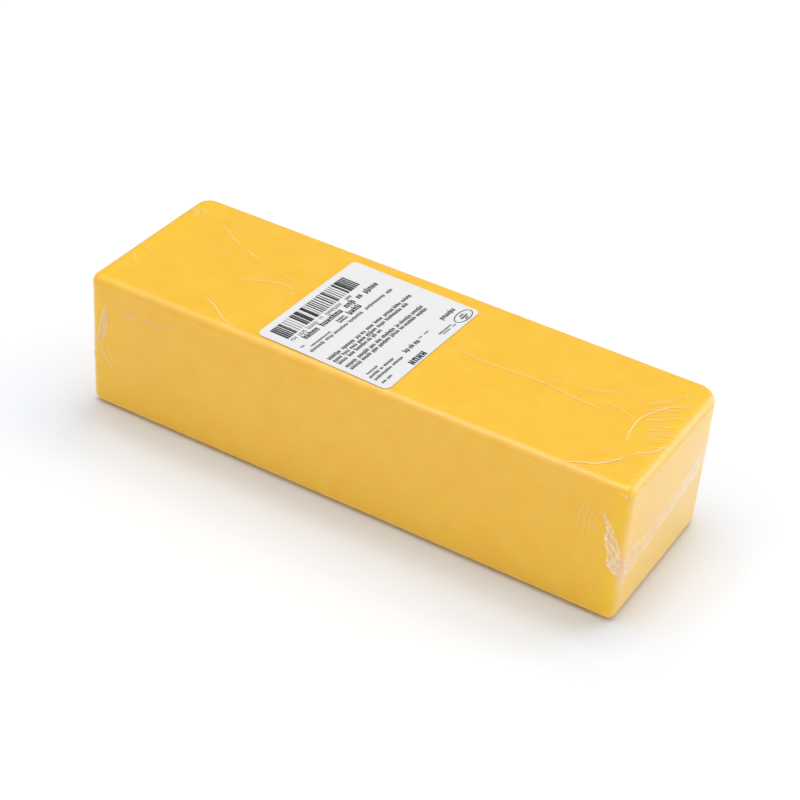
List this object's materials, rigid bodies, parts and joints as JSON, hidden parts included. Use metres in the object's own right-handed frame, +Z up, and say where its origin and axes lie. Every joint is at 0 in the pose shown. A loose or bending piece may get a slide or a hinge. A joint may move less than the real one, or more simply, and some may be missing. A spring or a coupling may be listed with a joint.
{
  "type": "film-wrapped cheese loaf",
  "caption": "Long rectangular loaf of deep yellow cheese in a clear shrink bag, with sealed ends, small film ears and a white weigh label on top.",
  "frame": {"origin": "middle of the footprint, on the plane that the loaf rests on", "axes": "+X along the loaf towards the end with the large film ear, +Y from the front long side to the back one, +Z up out of the labelled face"},
  "size_m": [0.2852, 0.0992, 0.0734],
  "materials": {
    "wrapped_cheese": "deep yellow cheese seen through thin clear shrink film",
    "label": "white paper with black thermal print"
  },
  "bodies": {
    "root": {"wrapped_cheese": "wrapped_cheese", "label": "label"}
  },
  "joints": []
}
